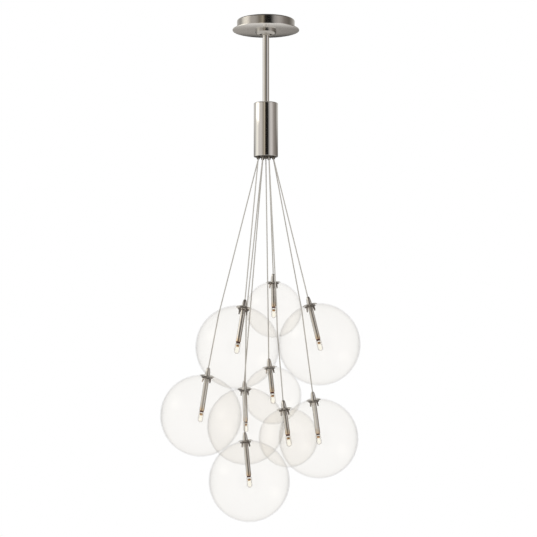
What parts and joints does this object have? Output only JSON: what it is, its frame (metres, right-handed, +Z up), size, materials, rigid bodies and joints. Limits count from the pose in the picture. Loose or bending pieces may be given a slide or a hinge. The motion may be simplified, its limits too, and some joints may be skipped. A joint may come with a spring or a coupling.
{
  "type": "cluster pendant light",
  "caption": "Ceiling light with clear glass globes hanging as a cluster on thin cables from a round metal hub, on a short stem under a flat round canopy.",
  "frame": {"origin": "centre of the canopy face that lies against the ceiling, midway between the two junction box screws", "axes": "+Z up out of the ceiling face; the lamp hangs towards -Z; the front of the picture is -Y; +X is to the right of the picture"},
  "size_m": [0.3744, 0.4123, 0.9499],
  "materials": {
    "polished_metal": "polished",
    "satin_metal": "satin",
    "zinc_steel": "zinc plated",
    "black_nylon": "matte",
    "clear_glass": "clear",
    "lamp_glass": "clear",
    "cable_sheath": "smooth",
    "dark_ceramic": "matte",
    "driver_case": "matte",
    "white_plastic": "matte"
  },
  "bodies": {
    "canopy": {"ceiling_pan": "polished_metal", "mounting_bar": "zinc_steel", "bar_screws": "zinc_steel", "swivel_housing": "zinc_steel"},
    "cover": {"cover_plate": "satin_metal", "collar": "polished_metal"},
    "seat": {"seat_ring": "black_nylon"},
    "stem": {"swivel_ball": "polished_metal", "stem": "polished_metal", "hub_top_cap": "polished_metal", "hub_tube": "polished_metal", "hub_base": "black_nylon", "cable_glands": "polished_metal", "transformer": "driver_case", "terminal_block": "white_plastic"},
    "pendant_a": {"cable_a": "cable_sheath", "holder_a": "polished_metal", "socket_a": "dark_ceramic", "globe_a": "clear_glass"},
    "lamp_body_a": {"lamp_a": "lamp_glass"},
    "pendant_b": {"cable_b": "cable_sheath", "holder_b": "polished_metal", "socket_b": "dark_ceramic", "globe_b": "clear_glass"},
    "lamp_body_b": {"lamp_b": "lamp_glass"},
    "pendant_c": {"cable_c": "cable_sheath", "holder_c": "polished_metal", "socket_c": "dark_ceramic", "globe_c": "clear_glass"},
    "lamp_body_c": {"lamp_c": "lamp_glass"},
    "pendant_d": {"cable_d": "cable_sheath", "holder_d": "polished_metal", "socket_d": "dark_ceramic", "globe_d": "clear_glass"},
    "lamp_body_d": {"lamp_d": "lamp_glass"},
    "pendant_e": {"cable_e": "cable_sheath", "holder_e": "polished_metal", "socket_e": "dark_ceramic", "globe_e": "clear_glass"},
    "lamp_body_e": {"lamp_e": "lamp_glass"},
    "pendant_f": {"cable_f": "cable_sheath", "holder_f": "polished_metal", "socket_f": "dark_ceramic", "globe_f": "clear_glass"},
    "lamp_body_f": {"lamp_f": "lamp_glass"},
    "pendant_g": {"cable_g": "cable_sheath", "holder_g": "polished_metal", "socket_g": "dark_ceramic", "globe_g": "clear_glass"},
    "lamp_body_g": {"lamp_g": "lamp_glass"},
    "pendant_h": {"cable_h": "cable_sheath", "holder_h": "polished_metal", "socket_h": "dark_ceramic", "globe_h": "clear_glass"},
    "lamp_body_h": {"lamp_h": "lamp_glass"},
    "pendant_i": {"cable_i": "cable_sheath", "holder_i": "polished_metal", "socket_i": "dark_ceramic", "globe_i": "clear_glass"},
    "lamp_body_i": {"lamp_i": "lamp_glass"}
  },
  "joints": [
    {"name": "cover_drop", "type": "slide", "parent": "canopy", "child": "cover", "axis": [0, 0, 1], "range_m": [-0.1, 0]},
    {"name": "swivel_turn", "type": "hinge", "parent": "canopy", "child": "seat", "pos_m": [0, 0, -0.0175], "axis": [0, 0, 1], "range_deg": [-180, 180]},
    {"name": "stem_tilt", "type": "hinge", "parent": "seat", "child": "stem", "pos_m": [0, 0, -0.0175], "axis": [1, 0, 0], "range_deg": [0, 20]},
    {"name": "pendant_a_swing", "type": "hinge", "parent": "stem", "child": "pendant_a", "pos_m": [-0.01451, -0.00601, -0.2665], "axis": [-0.866, 0.5, 0], "range_deg": [0, 20]},
    {"name": "lamp_a_pull", "type": "slide", "parent": "pendant_a", "child": "lamp_body_a", "axis": [-0.1488, -0.2424, -0.9587], "range_m": [0, 0.008]},
    {"name": "pendant_b_swing", "type": "hinge", "parent": "stem", "child": "pendant_b", "pos_m": [0.01451, -0.00601, -0.2665], "axis": [-0.5, -0.866, 0], "range_deg": [0, 20]},
    {"name": "lamp_b_pull", "type": "slide", "parent": "pendant_b", "child": "lamp_body_b", "axis": [0.2325, -0.0886, -0.9686], "range_m": [0, 0.008]},
    {"name": "pendant_c_swing", "type": "hinge", "parent": "stem", "child": "pendant_c", "pos_m": [-0.01451, 0.00601, -0.2665], "axis": [0, 1, 0], "range_deg": [0, 20]},
    {"name": "lamp_c_pull", "type": "slide", "parent": "pendant_c", "child": "lamp_body_c", "axis": [-0.1555, 0.1444, -0.9772], "range_m": [0, 0.008]},
    {"name": "pendant_d_swing", "type": "hinge", "parent": "stem", "child": "pendant_d", "pos_m": [0.01451, 0.00601, -0.2665], "axis": [0.5, -0.866, 0], "range_deg": [0, 20]},
    {"name": "lamp_d_pull", "type": "slide", "parent": "pendant_d", "child": "lamp_body_d", "axis": [0.1299, 0.184, -0.9743], "range_m": [0, 0.008]},
    {"name": "pendant_e_swing", "type": "hinge", "parent": "stem", "child": "pendant_e", "pos_m": [-0.00601, -0.01451, -0.2665], "axis": [0.9848, 0.1736, 0], "range_deg": [0, 2.5]},
    {"name": "lamp_e_pull", "type": "slide", "parent": "pendant_e", "child": "lamp_body_e", "axis": [0.0984, 0, -0.9951], "range_m": [0, 0.008]},
    {"name": "pendant_f_swing", "type": "hinge", "parent": "stem", "child": "pendant_f", "pos_m": [0.00601, 0.01451, -0.2665], "axis": [0.866, -0.5, 0], "range_deg": [0, 20]},
    {"name": "lamp_f_pull", "type": "slide", "parent": "pendant_f", "child": "lamp_body_f", "axis": [0.0146, 0.1312, -0.9912], "range_m": [0, 0.008]},
    {"name": "pendant_g_swing", "type": "hinge", "parent": "stem", "child": "pendant_g", "pos_m": [0, 0, -0.2665], "axis": [0.9063, -0.4226, 0], "range_deg": [0, 1.4]},
    {"name": "lamp_g_pull", "type": "slide", "parent": "pendant_g", "child": "lamp_body_g", "axis": [0.1024, -0.0292, -0.9943], "range_m": [0, 0.008]},
    {"name": "pendant_h_swing", "type": "hinge", "parent": "stem", "child": "pendant_h", "pos_m": [0.00601, -0.01451, -0.2665], "axis": [-0.866, -0.5, 0], "range_deg": [0, 20]},
    {"name": "lamp_h_pull", "type": "slide", "parent": "pendant_h", "child": "lamp_body_h", "axis": [0.1376, -0.1014, -0.9853], "range_m": [0, 0.008]},
    {"name": "pendant_i_swing", "type": "hinge", "parent": "stem", "child": "pendant_i", "pos_m": [-0.00601, 0.01451, -0.2665], "axis": [0.866, 0.5, 0], "range_deg": [0, 20]},
    {"name": "lamp_i_pull", "type": "slide", "parent": "pendant_i", "child": "lamp_body_i", "axis": [0.0272, 0.2501, -0.9678], "range_m": [0, 0.008]}
  ]
}
